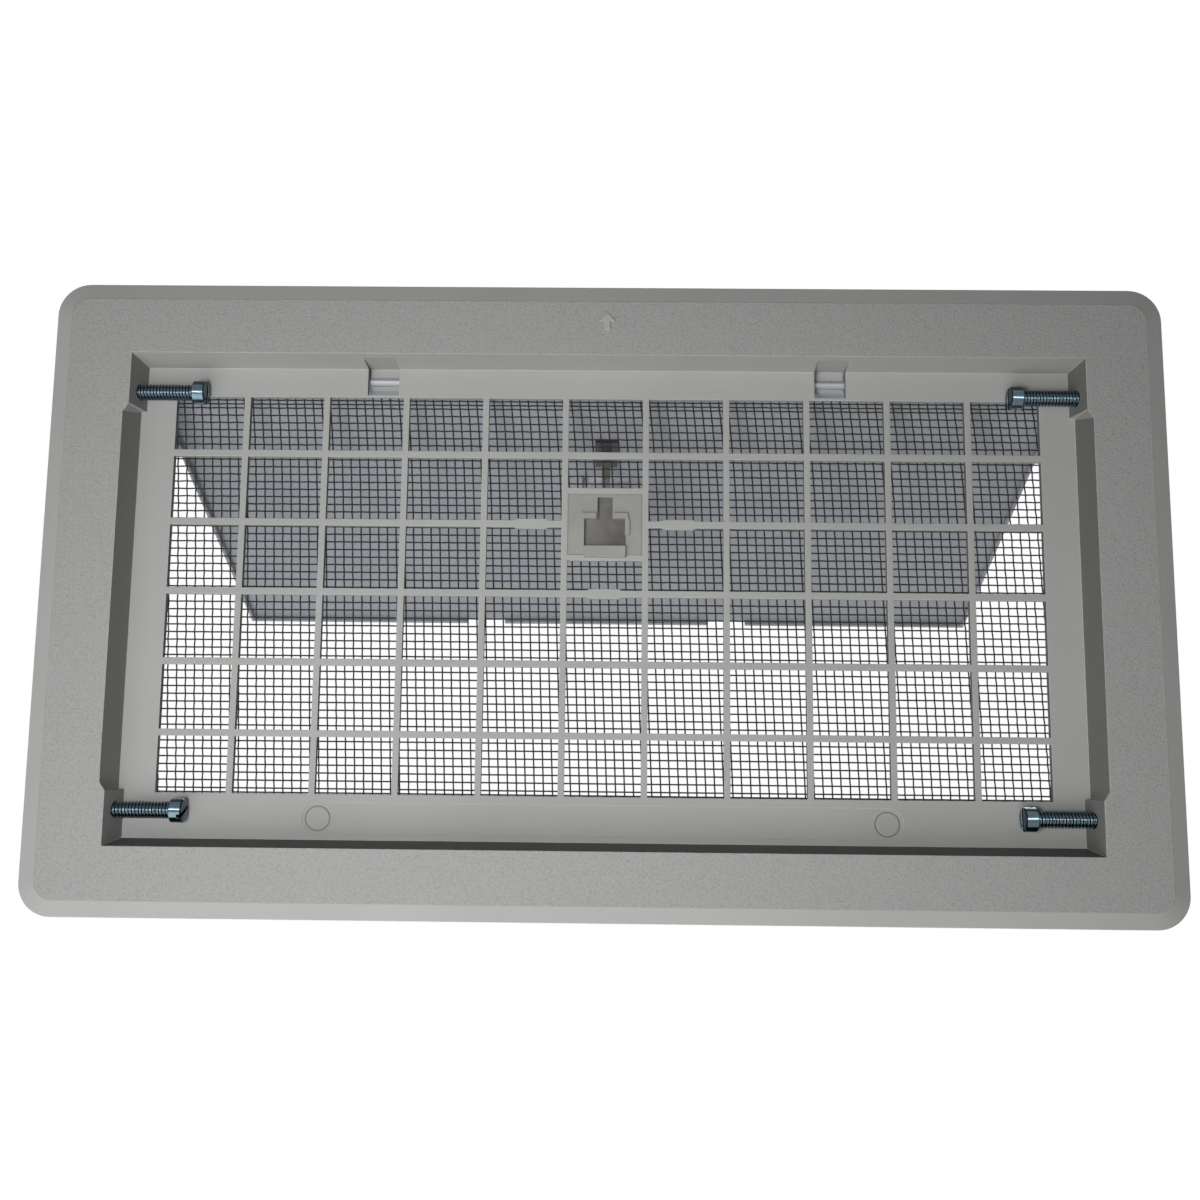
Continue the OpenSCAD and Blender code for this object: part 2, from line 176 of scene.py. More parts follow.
@dataclass(frozen=True)
class MouldedPolypropylene:
    """Grey polypropylene from a mould: an even mid grey that is neither dull nor shiny.

    The mould was etched with a fine leather grain on the flange's face, which scatters the
    light and looks a little darker, and was left smooth on the bevel and in the recess.
    """

    name: str = "grey_polypropylene_etched_face"
    smooth: str = "#a3a4a1"
    grained: str = "#979896"
    pits: str = "#8c8d8b"
    # the bottoms of the sill's grooves are painted darker
    groove_bottom_dark: str = "#7a7a77"
    # painted shade on the recess walls and floor, by the way each faces
    painted_wall_shade: str = "#5d5e5b"
    # painted highlight along the edges
    painted_edge_highlight: str = "#bcbdb9"
    grain_mm: float = 0.7
    blotch_mm: float = 60.0
    edge_mm: float = 0.45
    roughness: float = 0.65
    gloss: float = 0.12
    grain_height_mm: float = 0.1
    sand_mm: float = 0.8
    sand_height_mm: float = 0.2
    recess_half_w: float = 188.2
    recess_half_h: float = 96.6
    wall_shade_shares: tuple[tuple[str, int, float], ...] = (("X", 1, 0.56), ("X", -1, 0.87), ("Z", 1, 1.0), ("Z", -1, 0.16))
    groove_y: float = 13.8
    groove_low: float = -94.6
    groove_high: float = -80.0

    def build(self) -> Material:
        """Builds the material.

        Returns:
            The material, whose grain shows only on the face, where Y is 0.
        """
        material, tree = new_material(self.name)
        place = add_node(tree, "ShaderNodeTexCoord").outputs["Object"]
        parts = add_node(tree, "ShaderNodeSeparateXYZ", {0: place}).outputs
        depth = parts["Y"]
        face = add_node(tree, "ShaderNodeMath", {0: depth, 1: 0.0, 2: 0.05 * MM}, operation="COMPARE").outputs[0]
        grain = noise(tree, self.grain_mm, 3.0)
        cells = add_node(tree, "ShaderNodeTexVoronoi", {"Vector": place, "Scale": 1 / (self.grain_mm * MM)},
                         feature="SMOOTH_F1").outputs["Distance"]
        leather = add_node(tree, "ShaderNodeMath", {0: grain, 1: cells}, operation="ADD").outputs[0]
        pitted = add_node(tree, "ShaderNodeMapRange", {0: leather, 1: 0.75, 2: 1.25}).outputs[0]
        etched = tinted(tree, self.grained, self.pits, pitted)
        plain = tinted(tree, self.smooth, self.grained, noise(tree, self.blotch_mm, 1.0))
        # plain colour, with painted shade on the recess walls and floor
        drawn = add_node(tree, "ShaderNodeMix", {0: self.wall_shade_factor(tree, parts), 6: plain,
                                                 7: linear(self.painted_wall_shade)}, data_type="RGBA").outputs[2]
        clean = add_node(tree, "ShaderNodeMix", {0: face, 6: drawn, 7: etched}, data_type="RGBA").outputs[2]
        # the bottoms of the sill's grooves painted darker
        groove_darkened = add_node(tree, "ShaderNodeMix", {0: self.groove(tree, depth, parts["Z"]), 6: clean,
                                                 7: linear(self.groove_bottom_dark)}, data_type="RGBA").outputs[2]
        relief = add_node(tree, "ShaderNodeMath", {0: leather, 1: face}, operation="MULTIPLY").outputs[0]
        edge = add_node(tree, "ShaderNodeBevel", {"Radius": self.edge_mm * MM}, samples=6).outputs[0]
        flat = add_node(tree, "ShaderNodeNewGeometry").outputs["Normal"]
        turn = add_node(tree, "ShaderNodeVectorMath", {0: edge, 1: flat}, operation="DOT_PRODUCT").outputs["Value"]
        # painted highlight: edges are painted lighter where the rounded normal turns away from the flat one
        edge_highlight_factor = add_node(tree, "ShaderNodeMapRange", {0: turn, 1: 0.995, 2: 0.93, 3: 0.0, 4: 0.55}).outputs[0]
        colour = add_node(tree, "ShaderNodeMix", {0: edge_highlight_factor, 6: groove_darkened, 7: linear(self.painted_edge_highlight)},
                          data_type="RGBA").outputs[2]
        faint = add_node(tree, "ShaderNodeBump", {"Height": noise(tree, self.sand_mm, 3.0),
                                                  "Strength": 0.45,
                                                  "Distance": self.sand_height_mm * MM,
                                                  "Normal": edge}).outputs[0]
        bump = add_node(tree, "ShaderNodeBump", {"Height": relief, "Strength": 1.0,
                                                 "Distance": self.grain_height_mm * MM,
                                                 "Normal": faint}).outputs[0]
        shader = add_node(tree, "ShaderNodeBsdfPrincipled", {"Base Color": colour, "Roughness": self.roughness,
                                                             "IOR": 1.49, "Specular IOR Level": self.gloss,
                                                             "Normal": bump})
        output(tree, shader.outputs[0])
        return material


    def wall_shade_factor(self, tree: Tree, parts: Any) -> Socket:
        """How much painted shade each wall of the recess gets by the way it faces, the floor most.

        Each entry gives an axis, the sign of the wall's normal along it and its share of the painted shade.

        Args:
            tree: The material's node tree.
            parts: The X, Y and Z sockets of the place.

        Returns:
            The socket of the factor.
        """
        normal = add_node(tree, "ShaderNodeTexCoord").outputs["Normal"]
        facing = add_node(tree, "ShaderNodeSeparateXYZ", {0: normal}).outputs
        wall = 0.0
        for axis, sign, share in self.wall_shade_shares:
            turned = add_node(tree, "ShaderNodeMapRange", {0: facing[axis], 1: 0.6 * sign, 2: 0.95 * sign, 4: share})
            wall = add_node(tree, "ShaderNodeMath", {0: wall, 1: turned.outputs[0]}, operation="MAXIMUM").outputs[0]
        for axis, reach in (("X", self.recess_half_w), ("Z", self.recess_half_h)):
            within = add_node(tree, "ShaderNodeMath", {0: parts[axis], 1: 0.0, 2: reach * MM}, operation="COMPARE")
            wall = add_node(tree, "ShaderNodeMath", {0: wall, 1: within.outputs[0]}, operation="MULTIPLY").outputs[0]
        return wall

    def groove(self, tree: Tree, depth: Socket, height: Socket) -> Socket:
        """A factor that is 1 on the bottom of the two round grooves in the sill, which is painted darker.

        Args:
            tree: The material's node tree.
            depth: Socket of the Y coordinate.
            height: Socket of the Z coordinate.

        Returns:
            The socket of the factor.
        """
        bottom = add_node(tree, "ShaderNodeMath", {0: depth, 1: self.groove_y * MM, 2: 0.07 * MM},
                          operation="COMPARE").outputs[0]
        middle = (self.groove_low + self.groove_high) / 2
        sill = add_node(tree, "ShaderNodeMath", {0: height, 1: middle * MM,
                                                 2: (self.groove_high - middle) * MM}, operation="COMPARE").outputs[0]
        return add_node(tree, "ShaderNodeMath", {0: bottom, 1: sill}, operation="MULTIPLY").outputs[0]


@dataclass(frozen=True)
class SmoothMoulding:
    """A smooth moulded plastic: even in colour, with soft moulded edges and faint flow marks."""

    name: str
    colour: str
    shade: str
    roughness: float = 0.4
    edge_mm: float = 0.3
    blotch_mm: float = 45.0

    def tone(self, tree: Tree) -> Socket:
        """The plastic's own colour, with its faint flow marks."""
        return tinted(tree, self.colour, self.shade, noise(tree, self.blotch_mm, 2.0, (1, 1, 0.5)))

    def build(self) -> Material:
        """Builds the material.

        Returns:
            The material.
        """
        material, tree = new_material(self.name)
        colour = self.tone(tree)
        edge = add_node(tree, "ShaderNodeBevel", {"Radius": self.edge_mm * MM}, samples=6).outputs[0]
        bump = add_node(tree, "ShaderNodeBump", {"Height": noise(tree, 0.9), "Strength": 0.15,
                                                 "Distance": 0.05 * MM, "Normal": edge}).outputs[0]
        shader = add_node(tree, "ShaderNodeBsdfPrincipled", {"Base Color": colour, "Roughness": self.roughness,
                                                             "IOR": 1.5, "Normal": bump})
        output(tree, shader.outputs[0])
        return material


@dataclass(frozen=True)
class DamperMoulding(SmoothMoulding):
    """The damper's grey polypropylene, with painted light in its pocket, which lifts the shade that falls there."""

    # painted light in the pocket, lifting the shade that falls in it
    pocket_painted_light: str = "#d2d4d8"
    hinge: tuple[float, float, float] = (0.0, 18.0, 87.9)
    open_angle: float = 61.5
    pocket_middle: tuple[float, float, float] = (0.0, 4.45, -61.7)
    pocket_half: tuple[float, float, float] = (10.95, 3.7, 6.1)

    def tone(self, tree: Tree) -> Socket:
        """The plate's colour, and a paler painted light within the pocket's block, which lifts the pocket's shade.

        The place is turned back about the hinge by the open angle, so that the block is square.

        Args:
            tree: The material's node tree.

        Returns:
            The socket of the colour.
        """
        place = add_node(tree, "ShaderNodeTexCoord").outputs["Object"]
        turned = add_node(tree, "ShaderNodeMapping", {"Vector": place, "Location": np.array(self.hinge) * MM,
                                                      "Rotation": (np.radians(self.open_angle), 0, 0)},
                          vector_type="TEXTURE").outputs[0]
        inside = 1.0
        parts = add_node(tree, "ShaderNodeSeparateXYZ", {0: turned}).outputs
        for part, middle, half in zip(parts, self.pocket_middle, self.pocket_half):
            within = add_node(tree, "ShaderNodeMath", {0: part, 1: middle * MM, 2: half * MM}, operation="COMPARE")
            inside = add_node(tree, "ShaderNodeMath", {0: inside, 1: within.outputs[0]},
                              operation="MULTIPLY").outputs[0]
        # painted light within the pocket, lifting the shade that falls in it
        return add_node(tree, "ShaderNodeMix", {0: inside, 6: super().tone(tree), 7: linear(self.pocket_painted_light)},
                        data_type="RGBA").outputs[2]


@dataclass(frozen=True)
class NaturalNylon:
    """Undyed nylon from a mould: milky, with light under its surface.

    Painted shade: the thin web in the slot is painted a dark brownish shade, darker towards +X, for the shade in the
    slot and the coil seen through it.
    """

    name: str = "natural_nylon"
    colour: str = "#90918d"
    shade: str = "#7e7f7b"
    # painted shade on the web in the slot, light end and dark end
    web_painted_shade: str = "#6d6c68"
    web_painted_deep_shade: str = "#4b4640"
    web_y: float = 15.9
    roughness: float = 0.35
    gloss: float = 0.15
    edge_mm: float = 0.3
    glow_mm: float = 1.2

    def build(self) -> Material:
        """Builds the material.

        Returns:
            The material, whose web is told from the rest by its depth in Y.
        """
        material, tree = new_material(self.name)
        place = add_node(tree, "ShaderNodeTexCoord").outputs["Object"]
        parts = add_node(tree, "ShaderNodeSeparateXYZ", {0: place}).outputs
        web = add_node(tree, "ShaderNodeMath", {0: parts["Y"], 1: self.web_y * MM, 2: 0.04 * MM},
                       operation="COMPARE").outputs[0]
        milky = tinted(tree, self.colour, self.shade, noise(tree, 7.0))
        # painted shade in the web, darker towards +X
        across = add_node(tree, "ShaderNodeMapRange", {0: parts["X"], 1: -5 * MM, 2: 4 * MM, 3: 0.1,
                                                       4: 1.3}).outputs[0]
        slot_shade_spread = add_node(tree, "ShaderNodeMath", {0: noise(tree, 5.0, 3.0), 1: across}, operation="MULTIPLY_ADD")
        slot_shade_spread.inputs[2].default_value = 0.2
        painted_slot_shade = tinted(tree, self.web_painted_shade, self.web_painted_deep_shade, slot_shade_spread.outputs[0])
        colour = add_node(tree, "ShaderNodeMix", {0: web, 6: milky, 7: painted_slot_shade}, data_type="RGBA").outputs[2]
        edge = add_node(tree, "ShaderNodeBevel", {"Radius": self.edge_mm * MM}, samples=6).outputs[0]
        shader = add_node(tree, "ShaderNodeBsdfPrincipled", {"Base Color": colour, "Roughness": self.roughness,
                                                             "IOR": 1.53, "Normal": edge,
                                                             "Specular IOR Level": self.gloss,
                                                             "Subsurface Weight": 0.15,
                                                             "Subsurface Scale": self.glow_mm * MM,
                                                             "Subsurface Radius": (1.0, 0.95, 0.85)})
        output(tree, shader.outputs[0])
        return material


@dataclass(frozen=True)
class CoatedWire:
    """Woven wire with a black vinyl coat: almost black, with a soft dull shine on each wire."""

    name: str = "black_vinyl_coated_wire"
    colour: str = "#121413"
    shade: str = "#0a0b0b"
    roughness: float = 0.6
    gloss: float = 0.25

    def build(self) -> Material:
        """Builds the material and returns it."""
        material, tree = new_material(self.name)
        colour = tinted(tree, self.colour, self.shade, noise(tree, 4.0))
        shader = add_node(tree, "ShaderNodeBsdfPrincipled", {"Base Color": colour, "Roughness": self.roughness,
                                                             "IOR": 1.5, "Specular IOR Level": self.gloss})
        output(tree, shader.outputs[0])
        return material


@dataclass(frozen=True)
class PlatedMetal:
    """A thin bright metal surface, zinc plate or rolled strip, with fine marks along it."""

    name: str
    colour: str
    shade: str
    roughness: float
    mark_mm: float = 0.6
    edge_mm: float = 0.15
    stretch: tuple[float, float, float] = (0.2, 1.0, 1.0)

    def build(self) -> Material:
        """Builds the material and returns it."""
        material, tree = new_material(self.name)
        marks = noise(tree, self.mark_mm, 3.0, self.stretch)
        colour = tinted(tree, self.colour, self.shade, marks)
        rough = add_node(tree, "ShaderNodeMapRange", {0: marks, 3: self.roughness * 0.8,
                                                      4: self.roughness * 1.25}).outputs[0]
        edge = add_node(tree, "ShaderNodeBevel", {"Radius": self.edge_mm * MM}, samples=6).outputs[0]
        shader = add_node(tree, "ShaderNodeBsdfPrincipled", {"Base Color": colour, "Metallic": 1.0,
                                                             "Roughness": rough, "Normal": edge})
        output(tree, shader.outputs[0])
        return material


def mesh_object(name: str, points: Array, faces: list[Array], smooth: bool) -> PieceObject:
    """Puts whole arrays of points and faces into a new mesh object at the origin.

    Args:
        name: Name of the object and its mesh.
        points: N by 3 array of places in millimetres.
        faces: Arrays of point numbers, one row a face, each array with its own number of corners.
        smooth: Whether the faces are shaded smooth.

    Returns:
        The new object, linked to the scene.
    """
    mesh = bpy.data.meshes.new(name)
    corners = np.concatenate([part.ravel() for part in faces]).astype(np.int32)
    sizes = np.concatenate([np.full(len(part), part.shape[1]) for part in faces])
    starts = (np.cumsum(sizes) - sizes).astype(np.int32)
    mesh.vertices.add(len(points))
    mesh.vertices.foreach_set("co", (points * MM).astype(np.float32).ravel())
    mesh.loops.add(len(corners))
    mesh.loops.foreach_set("vertex_index", corners)
    mesh.polygons.add(len(sizes))
    mesh.polygons.foreach_set("loop_start", starts)
    mesh.polygons.foreach_set("use_smooth", np.full(len(sizes), smooth))
    mesh.update(calc_edges=True)
    mesh.validate()
    made = bpy.data.objects.new(name, mesh)
    bpy.context.scene.collection.objects.link(made)
    return made


def tube_faces(tubes: int, rings: int, sides: int, kept: Array) -> list[Array]:
    """Faces of a bundle of closed tubes whose points are ordered by tube, ring and side.

    A stretch between two rings is made only where both rings are kept, and each end of such a
    run gets a cap, so a tube that is cut in the middle stays closed.

    Args:
        tubes: Number of tubes.
        rings: Number of rings in each tube.
        sides: Number of points round each ring.
        kept: Array of tubes by rings that says which rings are kept.

    Returns:
        The side faces as rows of four, and the caps as rows with all the points of a ring.
    """
    number = np.arange(tubes * rings * sides).reshape(tubes, rings, sides)
    here, there = number[:, :-1], number[:, 1:]
    quads = np.stack([here, np.roll(here, -1, 2), np.roll(there, -1, 2), there], axis=-1)
    run = kept[:, :-1] & kept[:, 1:]
    gap = np.zeros((tubes, 1), bool)
    first = kept & np.hstack([run, gap]) & ~np.hstack([gap, run])
    last = kept & np.hstack([gap, run]) & ~np.hstack([run, gap])
    return [quads[run].reshape(-1, 4), np.vstack([number[first][:, ::-1], number[last]])]


def swept_strip(path: Array, width: Array, thickness: float) -> tuple[Array, list[Array]]:
    """A flat strip carried along a path in the plane of Y and Z, wide along X.

    Each ring has four corners: the path's point, plus or minus half the width along X, plus or
    minus half the thickness along the path's normal.

    Args:
        path: N by 2 array of Y and Z in millimetres.
        width: Width of the strip at each point of the path.
        thickness: Thickness of the strip.

    Returns:
        The points and the faces for mesh_object.
    """
    along = np.gradient(path, axis=0)
    along /= np.linalg.norm(along, axis=1, keepdims=True)
    normal = np.column_stack([-along[:, 1], along[:, 0]]) * thickness / 2
    across, through = np.array([-1, 1, 1, -1]) / 2, np.array([-1, -1, 1, 1])
    flat = path[:, None, :] + through[None, :, None] * normal[:, None, :]
    points = np.concatenate([(width[:, None] * across)[..., None], flat], axis=2).reshape(-1, 3)
    return points, tube_faces(1, len(path), 4, np.ones((1, len(path)), bool))


def dress(node_name: str, material: Material) -> None:
    """Gives a CAD node its material by its slots."""
    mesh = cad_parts[node_name].data
    mesh.materials.clear()
    mesh.materials.append(material)
    log.info("%s: CAD node, %s", node_name, material.name)


def place_piece(piece: PieceObject, material: Material, nodes: tuple[str, ...] = ()) -> PieceObject:
    """Gives a new piece its material and hides the CAD nodes that it stands for.

    Args:
        piece: The new piece.
        material: Its material.
        nodes: The CAD nodes that it replaces.

    Returns:
        The same piece.
    """
    piece.data.materials.append(material)
    if nodes:
        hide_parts(*nodes)
    log.info("%s: %d faces, %s", piece.name, len(piece.data.polygons), material.name)
    return piece


@dataclass
class MouldedFrame:
    """The frame with its flange, recess and grille, and the raised arrow that points up."""

    arrow_x: float = 0.3
    arrow_z: float = 107.3
    arrow_h: float = 7.0
    arrow_w: float = 6.4
    arrow_stem_w: float = 2.2
    arrow_head_h: float = 3.4
    arrow_proud: float = 0.45
    finish: MouldedPolypropylene = MouldedPolypropylene()

    def arrow_points(self) -> tuple[Array, list[Array]]:
        """The arrow as a prism: its outline in X and Z, drawn at two depths and joined.

        Returns:
            The points and the faces for mesh_object.
        """
        half, stem, low = self.arrow_w / 2, self.arrow_stem_w / 2, self.arrow_h / 2
        neck = low - self.arrow_head_h
        outline = np.array([[0, low], [-half, neck], [-stem, neck], [-stem, -low],
                            [stem, -low], [stem, neck], [half, neck]])
        count = len(outline)
        place = outline + [self.arrow_x, self.arrow_z]
        depth = np.repeat([-self.arrow_proud, 0.1], count)
        points = np.column_stack([np.tile(place[:, 0], 2), depth, np.tile(place[:, 1], 2)])
        front = np.arange(count)
        ahead = np.roll(front, -1)
        walls = np.column_stack([front, front + count, ahead + count, ahead])
        return points, [front[None, :], (front + count)[::-1][None, :], walls]

    def build(self) -> None:
        """Dresses the frame and adds the arrow."""
        material = self.finish.build()
        dress("frame", material)
        arrow = mesh_object("up_arrow", *self.arrow_points(), smooth=False)
        place_piece(arrow, material)
        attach(arrow, "frame_body")


@dataclass
class InsectScreen:
    """The woven screen behind the grille, cut out round the thermostat clip."""

    columns: int = 104
    pitch: float = 3.465
    half_width: float = 173.2
    rows: int = 51
    top_row: float = 76.4
    bottom_row: float = -74.4
    crowded_pitch: float = 1.6
    crowded_top: int = 3
    crowded_bottom: int = 2
    wire_r: float = 0.3
    depth: float = 16.26
    sides: int = 6
    lean: float = 0.045
    lean_more: float = 0.06
    lean_from: float = 20.0
    lean_over: float = 55.0
    wander: float = 0.04
    cut_half_width: float = 16.5
    cut_low: float = 15.5
    cut_high: float = 43.5
    finish: CoatedWire = CoatedWire()

    def crossings(self) -> tuple[Array, Array]:
        """Where the wires cross: an even grid whose upright wires lean to the left as they rise.

        The lean is a steady slope, plus one that grows with the power 1.5 of the height above
        lean_from. Slow sines let the wires wander.

        Returns:
            X and Z of each crossing, as arrays of columns by rows.
        """
        x = (np.arange(self.columns) - (self.columns - 1) / 2) * self.pitch
        regular = np.linspace(self.bottom_row, self.top_row, self.rows)
        above = self.top_row + self.crowded_pitch * np.arange(1, self.crowded_top + 1)
        below = self.bottom_row - self.crowded_pitch * np.arange(self.crowded_bottom, 0, -1)
        z = np.concatenate([below, regular, above])
        i, j = np.meshgrid(np.arange(len(x)), np.arange(len(z)), indexing="ij")
        rise = np.maximum(z - self.lean_from, 0) / self.lean_over
        lean = self.lean * z + self.lean_more * self.lean_over * rise ** 2.5 / 2.5
        drift = np.sin(0.9 * i + 0.11 * j) * np.cos(0.23 * i) + 0.6 * np.sin(0.31 * j)
        sag = np.sin(0.7 * j + 0.06 * i) + 0.5 * np.sin(0.021 * i * (1 + j % 3))
        return x[:, None] - lean[None, :] + self.wander * drift, z[None, :] + self.wander * sag

    def trimmed(self, side: Array, on: Array, upright: bool) -> tuple[Array, Array]:
        """Cuts the wires at the screen's sides and at the cut-out round the clip.

        The first ring of each wire inside the cut-out moves back to the cut-out's edge.

        Args:
            side: Place of each ring across its wire, as an array of wires by rings.
            on: Place of each ring along its wire.
            upright: Whether the wires are the upright ones.

        Returns:
            The new places along the wires, and which rings are kept.
        """
        at_x, at_z = (side, on) if upright else (on, side)
        inside = (np.abs(at_x) < self.cut_half_width) & (at_z > self.cut_low) & (at_z < self.cut_high)
        gap = np.zeros((len(side), 1), bool)
        open_ahead, open_behind = np.hstack([~inside[:, 1:], gap]), np.hstack([gap, ~inside[:, :-1]])
        near, beyond = (self.cut_low, self.cut_high) if upright else (-self.cut_half_width, self.cut_half_width)
        on = np.where(inside & open_behind, near, np.where(inside & open_ahead, beyond, on))
        kept = ~inside | open_ahead | open_behind
        return on, kept & (np.abs(at_x) < self.half_width)

    def wires(self, thread: Thread) -> tuple[Array, list[Array]]:
        """One set of wires, each a tube that goes over and under the wires that it crosses.

        Along a wire the depth is a cosine with one half wave a crossing, and its sign changes
        from each wire to the next. The two sets have opposite signs.

        Args:
            thread: Which of the two sets is made.

        Returns:
            The points and the faces for mesh_object.
        """
        x, z = self.crossings()
        upright = thread is Thread.UPRIGHT
        across, along = (x, z) if upright else (z.T, x.T)
        count, stops = across.shape
        fine, at = np.arange(0, stops - 0.5, 0.5), np.arange(stops)
        side, on = np.stack([[np.interp(fine, at, line) for line in part] for part in (across, along)])
        on, kept = self.trimmed(side, on, upright)
        sign = 1 if upright else -1
        wave = sign * self.wire_r * np.cos(np.pi * fine)[None, :] * (-1.0) ** np.arange(count)[:, None]
        angle = np.linspace(0, 2 * np.pi, self.sides, endpoint=False)
        ring = np.stack([np.cos(angle), np.sin(angle)]) * self.wire_r
        sideways = side[..., None] + ring[0]
        depth = self.depth + wave[..., None] + ring[1]
        onward = np.broadcast_to(on[..., None], depth.shape)
        order = (sideways, depth, onward) if upright else (onward, depth, sideways)
        faces = tube_faces(count, len(fine), self.sides, kept)
        if not upright:
            faces = [part[:, ::-1] for part in faces]
        return np.stack(order, axis=-1).reshape(-1, 3), faces

    def build(self) -> None:
        """Weaves both sets of wires."""
        material = self.finish.build()
        for thread in Thread:
            wires = mesh_object(thread.value, *self.wires(thread), smooth=True)
            place_piece(wires, material, ("insect_screen",))
            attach(wires, "frame_body")


@dataclass
class Damper:
    """The damper plate and the dark catch that its coil pushes on."""

    plate: DamperMoulding = DamperMoulding("grey_polypropylene_smooth", "#a0a3a8", "#94979c", 0.42)
    catch: SmoothMoulding = SmoothMoulding("black_acetal", "#211e1d", "#191716", 0.4, 0.2, 8.0)

    def build(self) -> None:
        """Dresses the damper and its catch."""
        dress("damper", self.plate.build())
        dress("damper_catch", self.catch.build())


@dataclass
class Thermostat:
    """The clip in the grille, the bimetal coil in it and the tail that opens the damper."""

    centre_y: float = 21.3
    centre_z: float = 26.2
    inner_r: float = 1.7
    outer_r: float = 4.15
    turns: float = 2.75
    strip_t: float = 0.5
    strip_w: float = 7.0
    tail_w: float = 3.6
    tail_end_y: float = 58.66
    tail_end_z: float = 66.17
    rise: float = 4.4
    flattened: float = 0.004
    clip_half_w: float = 14.4
    bay_half_w: float = 14.7
    bay_low: float = 17.3
    bay_high: float = 41.7
    seam_front: float = 13.26
    seam_back: float = 15.6
    clip: NaturalNylon = NaturalNylon()
    strip: PlatedMetal = PlatedMetal("bimetal_rolled_strip", "#d3d3c8", "#bdbdb0", 0.5, 0.5, 0.1, (1, 0.3, 0.3))

    def coil_path(self) -> Array:
        """A spiral whose radius grows evenly with its angle, then a short straight rise.

        The spiral ends at the front of the coil, heading upwards.

        Returns:
            The path as rows of Y and Z.
        """
        share = np.linspace(0, 1, 120)
        angle = np.pi + 2 * np.pi * self.turns * (1 - share)
        radius = self.inner_r + (self.outer_r - self.inner_r) * share
        spiral = np.column_stack([self.centre_y + radius * np.cos(angle), self.centre_z + radius * np.sin(angle)])
        front = np.full(8, self.centre_y - self.outer_r)
        rise = np.column_stack([front, self.centre_z + self.rise * np.linspace(0.1, 1, 8)])
        return np.vstack([spiral, rise])

    def side_beads(self) -> tuple[Array, list[Array]]:
        """The thin beads at the clip's two sides that make it a snug fit between the bars.

        Each bead is a block: every pair of its ends along X, Y and Z gives one corner.

        Returns:
            The points and the faces for mesh_object.
        """
        ends = np.array([[self.clip_half_w, self.bay_half_w], [self.seam_front, self.seam_back],
                         [self.bay_low, self.bay_high]])
        pick = np.array([[i, j, k] for i in (0, 1) for j in (0, 1) for k in (0, 1)])
        right = ends[np.arange(3), pick]
        left = right * [-1, 1, 1]
        sides = np.array([[0, 1, 3, 2], [4, 6, 7, 5], [0, 4, 5, 1], [2, 3, 7, 6], [0, 2, 6, 4], [1, 5, 7, 3]])
        return np.vstack([right, left]), [np.vstack([sides, sides[:, ::-1] + 8])]

    def build(self) -> None:
        """Dresses the clip, winds the coil and adds the tail."""
        nylon = self.clip.build()
        dress("thermostat_clip", nylon)
        beads = mesh_object("clip_side_beads", *self.side_beads(), smooth=False)
        place_piece(beads, nylon)
        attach(beads, "frame_body")
        metal = self.strip.build()
        path = self.coil_path()
        width = np.where(np.arange(len(path)) < 121, self.strip_w, self.tail_w)
        coil = mesh_object("bimetal_coil_wound", *swept_strip(path, width, self.strip_t), smooth=False)
        place_piece(coil, metal, ("bimetal_coil",))
        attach(coil, "frame_body")
        bend, end = path[-1], np.array([self.tail_end_y, self.tail_end_z])
        line = bend + (end - bend) * np.linspace(0, 1, 12)[:, None]
        tail = mesh_object("bimetal_tail", *swept_strip(line, np.full(12, self.tail_w), self.strip_t), smooth=False)
        place_piece(tail, metal, ("bimetal_coil",))
        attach(tail, "frame_body")
        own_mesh(tail)


@dataclass
class JackScrew:
    """A slotted quarter-inch screw, 20 threads to the inch, with the head that the CAD gives it."""

    node: str
    body: str
    side: Side
    z: float
    y: float = 8.2
    tip_x: float = 187.777
    length: float = 25.4
    major_r: float = 3.175
    pitch: float = 1.27
    thread_h: float = 0.75
    point: float = 1.0
    samples: int = 12
    spokes: int = 32

    def shank(self) -> tuple[Array, list[Array]]:
        """The threaded shank as a grid of distance along the axis by angle round it.

        The radius is the outer radius less the height of a V thread with a flat crest and a
        flat root, whose phase is the distance over the pitch less the angle over a full turn.
        Near the tip a cone limits it.

        Returns:
            The points and the faces for mesh_object.
        """
        along = np.linspace(0, self.length + 0.3, round(self.length / self.pitch) * self.samples)
        angle = np.linspace(0, 2 * np.pi, self.spokes, endpoint=False)
        x = self.side.value * (self.tip_x - along)
        phase = x[:, None] / self.pitch - angle[None, :] / (2 * np.pi)
        from_crest = np.abs(phase - np.round(phase))
        cut = np.clip((from_crest - 0.0625) / 0.3125, 0, 1) * self.thread_h
        cone = self.major_r - self.point + along[:, None]
        radius = np.minimum(self.major_r - cut, cone)
        points = np.stack([np.broadcast_to(x[:, None], radius.shape), self.y + radius * np.cos(angle),
                           self.z + radius * np.sin(angle)], axis=-1).reshape(-1, 3)
        faces = tube_faces(1, len(along), self.spokes, np.ones((1, len(along)), bool))
        if self.side is Side.RIGHT:
            faces = [part[:, ::-1] for part in faces]
        return points, faces

    def build(self, material: Material) -> None:
        """Joins the threaded shank to the slotted head, which is a copy of the CAD node's.

        Args:
            material: The plating of the screw.
        """
        screw = mesh_object(self.node + "_threaded", *self.shank(), smooth=True)
        seat = (self.tip_x - self.length) * MM
        cad = bmesh.new()
        cad.from_mesh(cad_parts[self.node].data)
        bmesh.ops.remove_doubles(cad, verts=cad.verts[:], dist=1e-6)
        beyond = [f for f in cad.faces if abs(f.calc_center_median().x) > seat + 0.02 * MM]
        bmesh.ops.delete(cad, geom=beyond, context="FACES")
        bmesh.ops.holes_fill(cad, edges=[e for e in cad.edges if e.is_boundary], sides=0)
        for f in cad.faces:
            f.smooth = False
        cad.from_mesh(screw.data)
        bmesh.ops.recalc_face_normals(cad, faces=cad.faces[:])
        cad.to_mesh(screw.data)
        cad.free()
        place_piece(screw, material, (self.node,))
        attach(screw, self.body)


